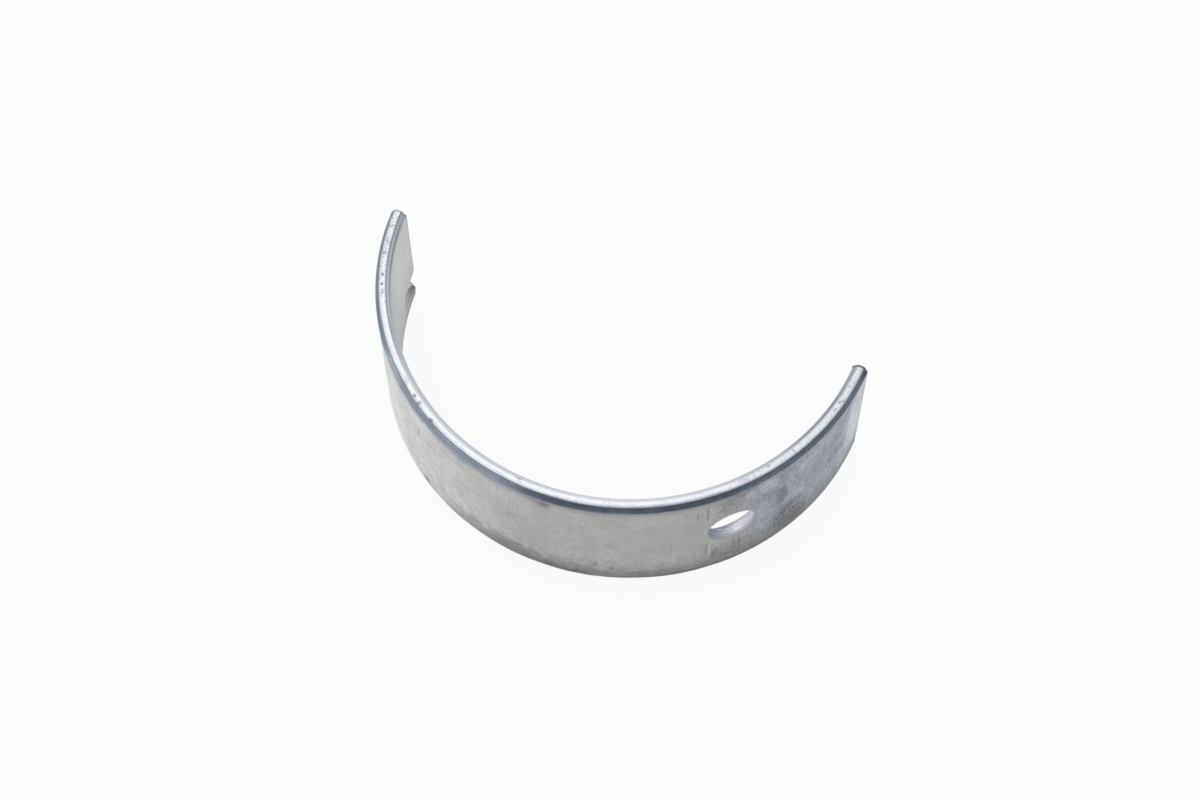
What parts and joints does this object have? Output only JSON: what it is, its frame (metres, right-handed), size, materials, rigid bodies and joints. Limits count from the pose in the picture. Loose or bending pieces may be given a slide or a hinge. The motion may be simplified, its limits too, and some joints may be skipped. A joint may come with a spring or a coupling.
{
  "type": "engine bearing shell",
  "caption": "Half shell of a plain engine bearing: a thin curved metal wall with chamfered edges, a round oil hole and a locating tang at one end.",
  "frame": {"origin": "on the arc's own axis at mid-width, where the journal's centre line passes", "axes": "+Z along the journal's axis, towards the edge face that lies uppermost; -Y through the middle of the arc; +X towards the parting face without the tang"},
  "size_m": [0.0623, 0.0297, 0.0208],
  "materials": {
    "bearing_metal": "satin, thinly plated steel strip with machined bright edges and light handling smudges"
  },
  "bodies": {
    "root": {"bearing_shell": "bearing_metal"}
  },
  "joints": []
}
